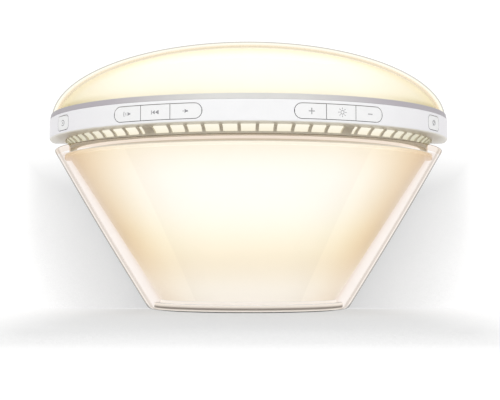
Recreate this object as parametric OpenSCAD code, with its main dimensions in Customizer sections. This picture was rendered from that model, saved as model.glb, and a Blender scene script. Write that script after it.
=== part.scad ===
// Sunrise alarm clock: a half-round bedside light with a flat back, a row of keys round its ring,
// a clear flared shell over a frosted cone below, and a low lit dome above.
// Z is up, the front faces -Y, and the origin is on the table under the middle of the whole.

/* [Body] */
// Outer radius of the control ring, which is the half width of the whole
ring_r = 136; // [130:0.5:142]
// Height of the control ring's face
ring_h = 13.5; // [13.5:0.1:16]
// Thickness of the control ring's face wall
ring_wall = 2.5; // [2:0.1:3]
// Thickness of the flanges that stiffen the control ring
flange_t = 1.4; // [1.2:0.1:1.4]
// Thickness of the flat rear cover
cover_t = 3; // [2.6:0.1:4]
// Height that the foot pad stands proud of the shell's lower edge
foot_proud = 0.6; // [0.4:0.1:1.2]

/* [Lower shell] */
// Height of the clear lower shell
shell_h = 107.5; // [100:0.5:116]
// Outer radius of the clear shell at its lower edge
shell_foot_r = 68.4; // [66:0.2:74]
// How far the shell's upper edge stands inside the face of the ring
shell_inset = 3.1; // [2:0.1:4]
// How far the shell's side bulges beyond a straight line
shell_bulge = 0.8; // [0:0.1:2]
// Wall of the clear shell, measured level
shell_wall = 3.5; // [2.5:0.1:4.5]
// Thickness of the ledge that closes the top of the shell
ledge_t = 3.7; // [3:0.1:5]
// Radius that rounds the edges of the shell
shell_edge = 2; // [1:0.1:2.4]

/* [Lower diffuser] */
// Gap from the clear shell to the frosted cone at its lower edge
cone_foot_gap = 5; // [4:0.1:6]
// Gap from the clear shell to the frosted cone at its upper edge
cone_top_gap = 7; // [6:0.1:9]
// Wall of the frosted cone, measured level
diffuser_wall = 2.4; // [1.6:0.1:3]
// Thickness of the cone's upper flange
diffuser_flange_t = 2; // [1.5:0.1:3]

/* [Vent grille] */
// Height of the open grille between the shell and the ring
grille_h = 6.3; // [5:0.1:9]
// How far the grille stands inside the edge of the deck above it
grille_inset = 0.4; // [0.2:0.1:1]
// Depth of the grille's band and of its posts' feet, measured from the axis outward
grille_depth = 3.8; // [3.4:0.1:4]
// How much further out the fins and posts stand under the ring than at their feet
grille_flare = 3.7; // [3:0.1:4.4]
// Height of the band that joins the feet of the fins and posts
grille_band_h = 2.2; // [1.6:0.1:2.8]
// Depth of one fin, in front of the lit strip
fin_depth = 1.2; // [0.9:0.1:1.6]
// Width of one fin
fin_w = 2; // [1.4:0.1:2.6]
// Angle from one fin to the next
fin_step_angle = 5; // [4:0.5:8]
// Width of the posts that take the ring's screws
post_w = 7; // [6:0.5:9]
// Angle from the front to the inner pair of posts
post_angle = 29.2; // [26:0.2:34]

/* [Dome] */
// Height of the dome above its widest level
dome_h = 50.9; // [44:0.1:60]
// How far the dome stands inside the face of the ring
dome_inset = 1.5; // [1.2:0.1:3]
// Wall of the clear dome
dome_wall = 2.5; // [2:0.1:3]
// Height from the ring to the dome's widest level
dome_seat_h = 1.2; // [0.8:0.1:3]
// Gap from the outside of the clear dome to the frosted dome under it
dome_gap = 4.6; // [4:0.1:6]
// Wall of the frosted dome
dome_diffuser_wall = 1.6; // [1.2:0.1:2.4]
// Height of the soft grey gasket round the foot of the dome
gasket_h = 3.4; // [2:0.1:5]
// How far the gasket's foot stands inside the face of the ring
gasket_inset = 0.25; // [0.1:0.05:0.5]
// Width of the gasket at its top
gasket_top_w = 0.4; // [0.3:0.1:0.7]

/* [Keys] */
// Angle from the front to the nearer end of each group of three keys
key_start_angle = 11.5; // [8:0.5:14]
// Angle that one key of a group takes up
key_span_angle = 8.3; // [7.4:0.1:8.6]
// Angle from the front to the single key near each end of the ring
side_key_angle = 60.6; // [56:0.1:66]
// Width of a single key
side_key_w = 18; // [14:0.5:20]
// Corner radius of a single key
side_key_corner = 3; // [1:0.1:4]
// Gap round every key
key_gap = 0.35; // [0.3:0.05:0.5]
// Travel of every key
key_travel = 0.6; // [0.3:0.05:0.8]
// Height of the lip that keeps a key in the ring, beyond the key's own edge
key_lip = 0.6; // [0.5:0.05:0.6]
// Thickness of that lip
key_lip_t = 1; // [0.8:0.1:1.2]

/* [Key switches] */
// Side of a switch's square body
switch_w = 6; // [5:0.1:6.4]
// Depth of a switch's body
switch_t = 3.4; // [3:0.1:3.8]
// Radius of a switch's plunger
plunger_r = 1.5; // [1.2:0.1:2]
// How far a switch's plunger stands out of its body
plunger_out = 1.1; // [0.9:0.1:1.5]
// Length of the post from a key's back to its switch
key_post = 1.8; // [1.4:0.1:2.2]
// Thickness of the flexible circuit behind the switches
flex_t = 0.6; // [0.3:0.1:0.8]
// Width of the flexible circuit above and below a switch
flex_margin = 0.55; // [0.3:0.05:0.9]
// Thickness of the rail that backs the flexible circuit
carrier_t = 2.3; // [1.6:0.1:2.4]
// Half of the angle that the rail covers
carrier_half_angle = 70; // [66:1:76]

/* [Base] */
// Thickness of the base plate
base_t = 4.4; // [3.6:0.1:6]
// Height of the rim on the base plate that carries the frosted cone
rim_h = 2; // [1:0.1:3]
// Width of that rim
rim_w = 5.8; // [4:0.1:8]
// Thickness of the steel weight on the base plate
ballast_t = 4; // [3:0.1:6]
// Width of the base plate left bare round the foot pad
foot_margin = 3.6; // [3:0.1:10]
// Thickness of the foot pad
foot_t = 1.6; // [1.4:0.1:2.2]

/* [Chassis] */
// Room between the loudspeaker's magnet and the bulkhead
magnet_room = 4; // [3:0.5:10]
// Thickness of the bulkhead and of the bay's walls
bay_wall = 2; // [1.6:0.1:3]
// Thickness of the deck over the bay
deck_t = 2.5; // [2:0.1:4]
// Radius of the bosses that take the screws
boss_r = 3.6; // [3:0.1:4.5]

/* [Lights] */
// Distance from the lower light board's lower corners to the sides of the bay
led_board_margin = 6; // [5:0.5:9]
// How far the lower light board reaches past the main board, above and below
led_board_extra = 2; // [1:0.5:4]
// Thickness of every circuit board
board_t = 1.6; // [1:0.1:2]
// Side of one light emitter
emitter_w = 5; // [3:0.1:5.4]
// Thickness of one light emitter
emitter_t = 1.6; // [1:0.1:2]
// Spacing of the emitters on the lower board
emitter_pitch = 12.5; // [10:0.1:14]
// Least distance from the middle of an emitter to the end of the lower board
emitter_side = 12; // [10:0.5:16]
// Least distance from the middle of an emitter to the lower board's long edges
emitter_edge = 7; // [6:0.5:8]
// Width of the deck left bare round the half-round light board under the dome
top_board_margin = 42.4; // [38:0.2:48]
// Thickness of the white reflector sheet
reflector_t = 0.5; // [0.3:0.1:1]

/* [Rear bay] */
// Distance from the main board's lower corners to the walls of the bay
main_board_margin = 5; // [4:0.5:8]
// Height of the main board's lower edge over the floor of the bay
main_board_lift = 13; // [12:0.5:16]
// How far the main board reaches up past the lowest point of the loudspeaker's flange
main_board_tuck = 1.2; // [0:0.1:2]
// Distance from the rear cover's inner face to the main board
main_board_depth = 9.4; // [8.6:0.1:11]
// Radius of the loudspeaker's flange
speaker_r = 26; // [24:0.5:27]
// Depth of the loudspeaker from its flange to the back of its magnet
speaker_depth = 20.8; // [18:0.1:22]
// Gap from the loudspeaker's flange to the deck
speaker_top_gap = 3; // [2:0.5:6]
// Inner radius of the power socket
jack_bore_r = 3.1; // [2.8:0.1:3.3]
// Radius of the power socket's pin
jack_pin_r = 1.05; // [0.8:0.05:1.3]

/* [Hidden] */

$fn = 96;
over = 1;          // overrun of every cut
fit = 0.3;         // clearance between pieces that are slipped together
close_fit = 0.1;   // clearance between curved faces that seat on each other
curve_steps = 18;  // steps along a dome's profile
edge_steps = 5;    // steps round a small rounded edge
quarter_turn = 90;    // the body runs this far either way from the front

// Levels, from the table up
shell_z = foot_proud;
ledge_z = shell_z + shell_h;
ring_z = ledge_z + grille_h;
ring_top_z = ring_z + ring_h;
dome_z = ring_top_z + dome_seat_h;
key_z = (ring_z + ring_top_z) / 2;
deck_z = ring_z + flange_t;
deck_top_z = deck_z + deck_t;
base_top_z = shell_z + base_t;
cone_z = base_top_z + rim_h;
cone_top_z = ledge_z - ledge_t;
bay_z = base_top_z + ballast_t;

// The revolve axis lies in the back plane, behind the middle of the body's depth
axis_y = (ring_r - cover_t) / 2;

// The keys and switches, from the ring's face inward
key_h = ring_h - 2 * (flange_t + key_lip + fit);
ring_inner_r = ring_r - ring_wall;
key_back_r = ring_inner_r - fit - key_lip_t;
key_root_r = key_back_r + key_lip_t / 2;
post_end_r = key_back_r - key_post;
switch_face_r = post_end_r - plunger_out;
flex_r = switch_face_r - switch_t;
flex_w = switch_w + 2 * flex_margin;
carrier_r = flex_r - flex_t - close_fit;
ring_top_in_r = carrier_r - carrier_t - 2 * close_fit;

// The other radii round the axis
deck_r = ring_top_in_r - fit;
grille_r = deck_r - grille_inset;
grille_in_r = grille_r - grille_depth;
ledge_in_r = grille_in_r - 2 * fit;
neck_out_r = ledge_in_r - fit;
neck_in_r = neck_out_r - diffuser_wall;
shell_top_r = ring_r - shell_inset;
diffuser_foot_r = shell_foot_r - shell_wall - cone_foot_gap;
diffuser_top_r = shell_top_r - shell_wall - cone_top_gap;
base_r = shell_foot_r - shell_wall - fit;
foot_r = base_r - foot_margin;
rim_r = diffuser_foot_r + fit;
rim_in_r = rim_r - rim_w;
ballast_r = rim_in_r - fit;
dome_r = ring_r - dome_inset;
dome_diffuser_r = dome_r - dome_gap;
dome_diffuser_h = dome_h - dome_gap;

function rise_share(z) = (z - shell_z) / shell_h;
function shell_r(z) = shell_foot_r + (shell_top_r - shell_foot_r) * rise_share(z)
    + shell_bulge * sin(180 * rise_share(z));
function cone_r(z) = diffuser_foot_r
    + (diffuser_top_r - diffuser_foot_r) * (z - cone_z) / (cone_top_z - cone_z);
function bend(a, b, c) = [for (i = [0:edge_steps]) let (t = i / edge_steps)
    (1 - t) * (1 - t) * a + 2 * t * (1 - t) * b + t * t * c];
function side_points(low, high, inset = 0) = [for (i = [0:curve_steps])
    let (z = low + (high - low) * i / curve_steps) [shell_r(z) - inset, z]];
function dome_points(r, h, inset = 0) = [for (i = [0:curve_steps]) let (a = quarter_turn * i / curve_steps)
    [(r - inset) * cos(a), dome_z + (h - inset) * sin(a)]];
function flipped(points) = [for (i = [len(points) - 1:-1:0]) points[i]];
function mirrored(points) = [for (p = flipped(points)) [-p[0], p[1]]];

// Moves a piece from the revolve axis to the frame of the whole
module placed() {
    translate([0, axis_y, 0]) children();
}

// Turns a profile of radius and height about the axis, between two angles from the front
module turned(from = -quarter_turn, to = quarter_turn) {
    rotate([0, 0, 270 + from]) rotate_extrude(angle = to - from) children();
}

// Faces outward at an angle from the front: X runs along the ring, Y up, Z outward
module facing(angle, r, z) {
    rotate([0, 0, angle]) translate([0, -r, z]) rotate([90, 0, 0]) children();
}

// Stands on the rear cover's inner face: X across, Y up, Z forward into the body
module in_bay(x, z, depth = 0) {
    translate([x, -depth, z]) rotate([90, 0, 0]) children();
}

// A rectangle with rounded corners, which is a pill where the radius is half the height
function corner_points(x, y, r, start) = [for (i = [0:edge_steps])
    let (a = start + quarter_turn * i / edge_steps) [x + r * cos(a), y + r * sin(a)]];

module rounded(w, h, r) {
    x = w / 2 - r;
    y = h / 2 - r;
    polygon(concat(corner_points(x, y, r, 0), corner_points(-x, y, r, 90),
        corner_points(-x, -y, r, 180), corner_points(x, -y, r, 270)));
}

// Keeps the part of a level slice of the body that lies in front of a plane
module half_disc(r, h, clear = 0) {
    intersection() {
        cylinder(r = r, h = h);
        translate([-r, -r, 0]) cube([2 * r, r - clear, h]);
    }
}

// Clear lower shell
module outer_shell() {
    color("white", 0.4) placed() turned() polygon(concat(
        bend([shell_foot_r - shell_edge, shell_z], [shell_foot_r, shell_z],
            [shell_r(shell_z + shell_edge), shell_z + shell_edge]),
        side_points(shell_z + 2 * shell_edge, ledge_z - 2 * shell_edge),
        bend([shell_r(ledge_z - shell_edge), ledge_z - shell_edge], [shell_top_r, ledge_z],
            [shell_top_r - shell_edge, ledge_z]),
        [[ledge_in_r, ledge_z], [ledge_in_r, cone_top_z]],
        flipped(side_points(shell_z, cone_top_z, shell_wall))
    ));
}

// Frosted cone, with the neck that lights the strip behind the grille
module lower_diffuser() {
    flange_z = cone_top_z - diffuser_flange_t;
    color("papayawhip") placed() turned() polygon([
        [cone_r(cone_z) - diffuser_wall, cone_z], [cone_r(cone_z), cone_z],
        [cone_r(flange_z), flange_z], [shell_r(flange_z) - shell_wall - fit, flange_z],
        [shell_r(flange_z) - shell_wall - fit, cone_top_z], [neck_out_r, cone_top_z],
        [neck_out_r, deck_z - fit], [neck_in_r, deck_z - fit],
        [neck_in_r, flange_z], [cone_r(flange_z) - diffuser_wall, flange_z]
    ]);
}

// Fins and posts between the shell and the ring, which flare to the ring over one low band
flare_lip_h = 0.5;         // height of the upright edge at the top of a fin
flare_knee = [0.2, 0.6];   // where a fin turns outward, in shares of the flare's run and height
fin_edge_angle = 5;        // left bare at each end of the grille
end_post_angle = 84;       // from the front to the outer pair of posts
post_clear_angle = asin(((post_w + fin_w) / 2 + fit) / grille_in_r);
post_angles = [-end_post_angle, -post_angle, post_angle, end_post_angle];
fin_count = floor((quarter_turn - fin_edge_angle) / fin_step_angle);
fin_angles = [for (side = [-1, 1], i = [0:fin_count - 1]) side * (i + 1 / 2) * fin_step_angle];
function near_post(angle) = len([for (p = post_angles) if (abs(angle - p) < post_clear_angle) p]) > 0;

grille_band_z = ledge_z + grille_band_h;
flare_top_z = ring_z - flare_lip_h;

// The flared outline from the band to the ring, which may stand inside the fins' outer edge
function flare_points(inset = 0) = concat(
    bend([grille_r - inset, grille_band_z],
        [grille_r - inset + grille_flare * flare_knee[0],
            grille_band_z + (flare_top_z - grille_band_z) * flare_knee[1]],
        [grille_r - inset + grille_flare, flare_top_z]),
    [[grille_r - inset + grille_flare, ring_z]]);

module grille_upright(angle, w, grow = 0) {
    facing(angle, grille_in_r - grow, ledge_z) translate([-w / 2, 0, 0])
        cube([w, grille_h + grow, grille_depth + grille_flare + over + grow]);
}

module vent_grille() {
    color("tan") placed() difference() {
        union() {
            turned() translate([grille_in_r, ledge_z]) square([grille_depth, grille_band_h]);
            intersection() {
                turned() polygon(concat([[grille_r - fin_depth, ledge_z], [grille_r, ledge_z]],
                    flare_points(), flipped(flare_points(fin_depth))));
                union() {
                    for (angle = fin_angles) if (!near_post(angle)) grille_upright(angle, fin_w);
                }
            }
            intersection() {
                turned() polygon(concat([[grille_in_r, ledge_z], [grille_r, ledge_z]],
                    flare_points(), [[grille_in_r, ring_z]]));
                union() {
                    for (angle = post_angles) grille_upright(angle, post_w);
                }
            }
        }
        for (angle = post_angles) rotate([0, 0, angle])
            translate([0, -ring_screw_r, ring_z - ring_screw_bite - over])
                cylinder(r = thin_screw_r + close_fit, h = ring_screw_bite + 2 * over);
    }
}

// Lit strip between the posts, which fills the space from the neck out to the fins
module grille_strip() {
    color("papayawhip") placed() difference() {
        turned(-end_post_angle, end_post_angle) polygon(concat([[grille_in_r, grille_band_z]],
            flare_points(fin_depth + close_fit), [[grille_in_r, ring_z]]));
        for (angle = post_angles) grille_upright(angle, post_w + 2 * fit, over);
    }
}

// Small screws, each size used by more than one piece
thin_screw_r = 1;         // shank of the screws in the ring and the loudspeaker
stout_screw_r = 1.4;      // shank of the screws in the cover, the boards and the base
head_share = 2;           // head radius as a multiple of the shank's
head_t = 1.6;             // height of every head
ring_screw_bite = 4.4;    // depth that a ring screw reaches into its post
ring_screw_r = grille_r - grille_depth / 2;

module screw(r, length) {
    translate([0, 0, -length]) cylinder(r = r, h = length);
    cylinder(r = r * head_share, h = head_t);
}

// Control ring, a channel that opens inward
ring_edge = 1.6;          // rounding of the ring's lower edge
ring_top_edge = 0.8;      // rounding of the ring's upper edge
group_angle = key_start_angle + key_span_angle * 3 / 2;
group_w = 2 * ring_r * sin(key_span_angle * 3 / 2);

module group_outline(grow = 0) {
    rounded(group_w + 2 * grow, key_h + 2 * grow, key_h / 2 + grow);
}

module side_outline(grow = 0) {
    rounded(side_key_w + 2 * grow, key_h + 2 * grow, side_key_corner + grow);
}

module key_windows(grow) {
    for (side = [-1, 1]) {
        facing(side * group_angle, 0, key_z) linear_extrude(ring_r + over) group_outline(grow);
        facing(side * side_key_angle, 0, key_z) linear_extrude(ring_r + over) side_outline(grow);
    }
}

module control_ring() {
    color("white") placed() difference() {
        turned() polygon(concat(
            [[ledge_in_r, ring_z]],
            bend([ring_r - ring_edge, ring_z], [ring_r, ring_z], [ring_r, ring_z + ring_edge]),
            bend([ring_r, ring_top_z - ring_top_edge], [ring_r, ring_top_z],
                [ring_r - ring_top_edge, ring_top_z]),
            [[ring_top_in_r, ring_top_z], [ring_top_in_r, ring_top_z - flange_t],
                [ring_inner_r, ring_top_z - flange_t], [ring_inner_r, deck_z], [ledge_in_r, deck_z]]
        ));
        key_windows(key_gap);
        for (angle = post_angles) rotate([0, 0, angle])
            translate([0, -ring_screw_r, ring_z - over])
                cylinder(r = thin_screw_r + fit, h = flange_t + 2 * over);
    }
}

// Soft grey gasket between the ring and the dome
module dome_gasket() {
    gasket_in_r = dome_r + fit / 2;
    color("silver") placed() turned() polygon([
        [gasket_in_r, ring_top_z], [ring_r - gasket_inset, ring_top_z],
        [gasket_in_r + gasket_top_w, ring_top_z + gasket_h], [gasket_in_r, ring_top_z + gasket_h]
    ]);
}

// A half dome that stands on the ring
module dome(r, h, wall) {
    placed() turned() polygon(concat(
        [[r - wall, ring_top_z], [r, ring_top_z]], dome_points(r, h),
        flipped(dome_points(r, h, wall))
    ));
}

module dome_cover() {
    color("ivory", 0.4) dome(dome_r, dome_h, dome_wall);
}

module dome_diffuser() {
    color("papayawhip") dome(dome_diffuser_r, dome_diffuser_h, dome_diffuser_wall);
}

// Chassis: a tray for the rear bay with a half-round deck on top
bay_clear = 1;                        // room between the tray's corners and the cone
speaker_gasket_t = 1.2;
bay_depth = speaker_gasket_t + speaker_depth + magnet_room;
front_depth = bay_depth + bay_wall;
function cone_inner(z) = cone_r(z) - diffuser_wall;
function chord(r, depth) = sqrt(r * r - depth * depth);
bay_low_x = chord(cone_inner(bay_z), front_depth) - bay_clear;
bay_high_x = chord(neck_in_r, front_depth) - bay_clear;
function bay_x(z) = bay_low_x + (bay_high_x - bay_low_x) * (z - bay_z) / (deck_z - bay_z);

// The main board fills the height under the loudspeaker, and the light board stands in front of it
speaker_z = deck_z - speaker_r - speaker_top_gap;
main_board_low_z = bay_z + bay_wall + main_board_lift;
main_board_h = speaker_z - speaker_r + main_board_tuck - main_board_low_z;
main_board_z = main_board_low_z + main_board_h / 2;
header_top_z = main_board_low_z + main_board_h;
main_board_w = 2 * (bay_x(main_board_low_z) - bay_wall - main_board_margin);
led_board_z = main_board_z;
led_board_h = main_board_h + 2 * led_board_extra;
led_board_w = 2 * (bay_x(led_board_z - led_board_h / 2) - led_board_margin);
window_side = 10.5;                   // the light board's ends reach this far past the window
window_edge = 5.2;                    // its long edges reach this far past the window
window_w = led_board_w - 2 * window_side;
window_h = led_board_h - 2 * window_edge;
header_w = 9;
header_h = 5;
header_t = 4.4;
header_inset = 9.6;                   // the outer wire headers stand this far in from the board's ends
header_x = (main_board_w - header_w) / 2 - header_inset;
lead_hole_r = 1.6;
lead_r = 0.7;
lead_gap = 4;                         // distance between two leads of a pair
led_lead_inset = 3;
led_lead_x = main_board_w / 2 - led_lead_inset;
ribbon_w = 6;
ribbon_t = 0.4;
ribbon_side = 24;                     // the ribbon passes the deck this far in from the bay's corner
ribbon_x = bay_high_x - ribbon_side;

module bay_outline(inset = 0) {
    low = bay_z + inset;
    high = deck_z;
    polygon([[-bay_x(low) + inset, low], [bay_x(low) - inset, low],
        [bay_x(high) - inset, high], [-bay_x(high) + inset, high]]);
}

// Where the cover's six screws go, in the bay's corners and beside the board
cover_boss_low_z = bay_z + bay_wall + boss_r + fit;
cover_boss_mid_z = main_board_z + main_board_h / 2 + boss_r + fit;
cover_boss_high_z = deck_z - boss_r - bay_wall;
boss_inset = boss_r + bay_wall * 3 / 2;
cover_boss_places = [for (side = [-1, 1], z = [cover_boss_low_z, cover_boss_mid_z, cover_boss_high_z])
    [side * (bay_x(z) - boss_inset), z]];
board_hole_inset = 5;                 // the board's holes lie this far in from its edges
board_boss_places = [for (x = [-1, 1], z = [-1, 1])
    [x * (main_board_w / 2 - board_hole_inset), main_board_z + z * (main_board_h / 2 - board_hole_inset)]];
board_boss_r = 2.6;
board_boss_depth = main_board_depth + board_t;
lead_depth = board_boss_depth + header_t / 2;
base_screw_inset = 20;                // the base screws stand this far in from the bay's sides
base_screw_x = bay_low_x - base_screw_inset;
base_screw_y = bay_depth / 2;
base_boss_h = 6;

module chassis() {
    color("whitesmoke") placed() difference() {
        union() {
            in_bay(0, 0) linear_extrude(bay_depth) difference() {
                bay_outline();
                bay_outline(bay_wall);
            }
            in_bay(0, 0, bay_depth) linear_extrude(bay_wall) bay_outline();
            translate([0, 0, deck_z]) half_disc(deck_r, deck_t);
            for (p = cover_boss_places) in_bay(p[0], p[1]) cylinder(r = boss_r, h = bay_depth + bay_wall / 2);
            for (p = board_boss_places) in_bay(p[0], p[1], board_boss_depth)
                cylinder(r = board_boss_r, h = bay_depth - board_boss_depth + bay_wall / 2);
            for (x = [-1, 1]) translate([x * base_screw_x, -base_screw_y, bay_z])
                cylinder(r = boss_r, h = base_boss_h);
        }
        in_bay(0, led_board_z, bay_depth - over) linear_extrude(bay_wall + 2 * over)
            square([window_w, window_h], center = true);
        for (p = cover_boss_places) in_bay(p[0], p[1], -over)
            cylinder(r = stout_screw_r + close_fit, h = cover_screw_length + over);
        for (p = board_boss_places) in_bay(p[0], p[1], board_boss_depth - over)
            cylinder(r = stout_screw_r + close_fit, h = board_screw_length + over);
        for (x = [-1, 1]) {
            translate([x * base_screw_x, -base_screw_y, bay_z - over])
                cylinder(r = stout_screw_r + close_fit, h = base_boss_h + 2 * over);
            for (z = [-1, 1]) in_bay(x * led_lead_x, led_board_z + z * lead_gap / 2, bay_depth - over)
                cylinder(r = lead_hole_r, h = bay_wall + 2 * over);
            translate([header_x + x * lead_gap / 2, -lead_depth, deck_z - over])
                cylinder(r = lead_hole_r, h = deck_t + 2 * over);
        }
        translate([-ribbon_x, -lead_depth, deck_z + deck_t / 2])
            cube([ribbon_t + 4 * fit, ribbon_w + 4 * fit, deck_t + 2 * over], center = true);
        for (angle = post_angles) rotate([0, 0, angle]) translate([0, -ring_screw_r, deck_z - over])
            cylinder(r = thin_screw_r + fit, h = deck_t + 2 * over);
    }
}

// Flat rear cover with its loudspeaker slots, vents and power socket
cover_chamfer = 0.8;
cover_chamfer_inset = 0.8;
recess_r = stout_screw_r * head_share + fit;
recess_depth = head_t + fit;
cover_screw_length = 10;
board_screw_length = 6;
cover_neck = 2;                       // the cover stands out this far past the grille
slot_h = 2.2;                         // height of the loudspeaker's slots and of the vents
slot_pitch = 5;
slot_count = 7;
slot_field_share = 0.78;              // the slots fill this share of the loudspeaker's radius
slot_field_r = speaker_r * slot_field_share;
vent_count = 6;
vent_w = 24;
vent_side = 14;                       // gap from the loudspeaker's flange to the vents
jack_shares = [0.211, -1 / 4];        // the socket's place from the middle of the main board
jack_x = main_board_w * jack_shares[0];
jack_z = main_board_z + main_board_h * jack_shares[1];
jack_nose_r = 4.1;
jack_hole_r = jack_nose_r + fit;
speaker_ear_share = 0.79;             // an ear's place across and up, as a share of the flange's radius
speaker_ear_x = speaker_r * speaker_ear_share;
speaker_ear_r = 3.4;
speaker_screw_bite = 3;

function cover_side(inset) = concat(
    [[shell_foot_r - shell_edge - inset, shell_z + inset]],
    side_points(shell_z + 2 * shell_edge, ledge_z - 2 * shell_edge, inset),
    [[shell_top_r - shell_edge - inset, ledge_z - inset], [grille_r + cover_neck - inset, ledge_z - inset],
        [grille_r + cover_neck - inset, ring_z + inset], [ring_r - ring_edge - inset, ring_z + inset],
        [ring_r - inset, ring_z + ring_edge + inset], [ring_r - inset, ring_top_z - inset]],
    [for (p = dome_points(dome_r, dome_h, inset)) if (p[0] > inset / 2) p],
    [[0, dome_z + dome_h - inset]]
);

module cover_outline(inset = 0) {
    side = cover_side(inset);
    polygon(concat(side, [for (p = mirrored(side)) if (p[0] < 0) p]));
}

module rear_cover() {
    color("gainsboro") placed() difference() {
        union() {
            in_bay(0, 0, -cover_t + cover_chamfer) linear_extrude(cover_t - cover_chamfer) cover_outline();
            in_bay(0, 0, -cover_t) linear_extrude(cover_chamfer) cover_outline(cover_chamfer_inset);
            for (x = [-1, 1], z = [-1, 1])
                in_bay(x * speaker_ear_x, speaker_z + z * speaker_ear_x, -cover_t / 2)
                    cylinder(r = speaker_ear_r, h = cover_t / 2 + speaker_gasket_t);
        }
        for (i = [0:slot_count - 1]) let (z = (i - (slot_count - 1) / 2) * slot_pitch)
            in_bay(0, speaker_z + z, -cover_t - over) linear_extrude(cover_t + 2 * over)
                rounded(2 * chord(slot_field_r, abs(z)), slot_h, slot_h / 2);
        for (side = [-1, 1], i = [0:vent_count - 1]) let (z = (i - (vent_count - 1) / 2) * slot_pitch)
            in_bay(side * (speaker_r + vent_side + vent_w / 2), speaker_z + z, -cover_t - over)
                linear_extrude(cover_t + 2 * over) rounded(vent_w, slot_h, slot_h / 2);
        in_bay(jack_x, jack_z, -cover_t - over) cylinder(r = jack_hole_r, h = cover_t + 2 * over);
        for (p = cover_boss_places) {
            in_bay(p[0], p[1], -cover_t - over) cylinder(r = recess_r, h = recess_depth + over);
            in_bay(p[0], p[1], -cover_t - over) cylinder(r = stout_screw_r + fit, h = cover_t + 2 * over);
        }
        for (x = [-1, 1], z = [-1, 1])
            in_bay(x * speaker_ear_x, speaker_z + z * speaker_ear_x, speaker_gasket_t - speaker_screw_bite)
                cylinder(r = thin_screw_r + close_fit, h = speaker_screw_bite + over);
    }
}

// Base plate, weight and foot pad
foot_clear = 1.5;         // distance of the foot pad and the weight from the rear cover
base_head_z = shell_z + foot_t - foot_proud;

module base_plate() {
    color("gainsboro") placed() difference() {
        union() {
            translate([0, 0, shell_z]) half_disc(base_r, base_t);
            translate([0, 0, base_top_z]) difference() {
                half_disc(rim_r, rim_h);
                translate([0, 0, -over]) cylinder(r = rim_in_r, h = rim_h + 2 * over);
            }
        }
        translate([0, 0, shell_z - over])
            half_disc(foot_r + fit, foot_t - foot_proud + over, foot_clear - fit);
        for (x = [-1, 1]) translate([x * base_screw_x, -base_screw_y, base_head_z - over]) {
            cylinder(r = stout_screw_r * head_share + fit, h = head_t + over);
            cylinder(r = stout_screw_r + fit, h = base_t + 2 * over);
        }
    }
}

module ballast_weight() {
    color("dimgray") placed() difference() {
        translate([0, 0, base_top_z]) half_disc(ballast_r, ballast_t, foot_clear);
        for (x = [-1, 1]) translate([x * base_screw_x, -base_screw_y, base_top_z - over])
            cylinder(r = stout_screw_r + fit, h = ballast_t + 2 * over);
    }
}

module foot_pad() {
    color("darkgray") placed() half_disc(foot_r, foot_t, foot_clear);
}

// Light boards, their emitters, the reflector and the heat sink
emitter_columns = floor((led_board_w - 2 * emitter_side) / emitter_pitch) + 1;
emitter_rows = floor((led_board_h - 2 * emitter_edge) / emitter_pitch) + 1;
emitter_places = [for (i = [0:emitter_columns - 1], j = [0:emitter_rows - 1])
    [(i - (emitter_columns - 1) / 2) * emitter_pitch, (j - (emitter_rows - 1) / 2) * emitter_pitch]];
emitter_gap = 0.4;
reflector_margin = 3;
reflector_depth = front_depth + board_t;

module led_board() {
    color("ghostwhite") placed() in_bay(0, led_board_z, front_depth) linear_extrude(board_t)
        square([led_board_w, led_board_h], center = true);
}

module led_emitters() {
    color("gold") placed() for (p = emitter_places)
        in_bay(p[0], led_board_z + p[1], reflector_depth) linear_extrude(emitter_t)
            square(emitter_w, center = true);
}

module reflector() {
    low = bay_z + reflector_margin;
    high = cone_top_z - reflector_margin;
    far = reflector_depth + reflector_t;
    low_x = chord(cone_inner(low), far) - bay_clear;
    high_x = chord(cone_inner(high), far) - bay_clear;
    color("white") placed() in_bay(0, 0, reflector_depth) linear_extrude(reflector_t) difference() {
        polygon([[-low_x, low], [low_x, low], [high_x, high], [-high_x, high]]);
        for (p = emitter_places) translate([p[0], led_board_z + p[1]])
            square(emitter_w + 2 * emitter_gap, center = true);
    }
}

sink_clear = 2.6;                     // room between the heat sink's fins and the wire headers
sink_fin_depth = bay_depth - board_boss_depth - header_t - sink_clear;
sink_fin_t = 1.4;
sink_fin_count = 11;

module heat_sink() {
    w = window_w - 2 * fit;
    h = window_h - 2 * fit;
    color("silver") placed() {
        in_bay(0, led_board_z, bay_depth) linear_extrude(bay_wall) square([w, h], center = true);
        for (i = [0:sink_fin_count - 1]) let (x = (i / (sink_fin_count - 1) - 1 / 2) * (w - sink_fin_t))
            in_bay(x, led_board_z, bay_depth - sink_fin_depth) linear_extrude(sink_fin_depth + bay_wall / 2)
                square([sink_fin_t, h], center = true);
    }
}

top_board_clear = 6;                  // room between the board under the dome and the cover
top_board_r = deck_r - top_board_margin;
top_row_shares = [0.5, 0.85];         // the arcs of emitters lie this far out on the board
top_row_counts = [6, 11];
top_emitter_angle = 66;               // the arcs run this far either way from the front

module top_led_board() {
    color("ghostwhite") placed() translate([0, 0, deck_top_z])
        half_disc(top_board_r, board_t, top_board_clear);
}

module top_led_emitters() {
    color("gold") placed() for (row = [0:1], i = [0:top_row_counts[row] - 1])
        rotate([0, 0, top_emitter_angle * (2 * i / (top_row_counts[row] - 1) - 1)])
            translate([0, -top_board_r * top_row_shares[row], deck_top_z + board_t])
                linear_extrude(emitter_t)
                    square(emitter_w, center = true);
}

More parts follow.
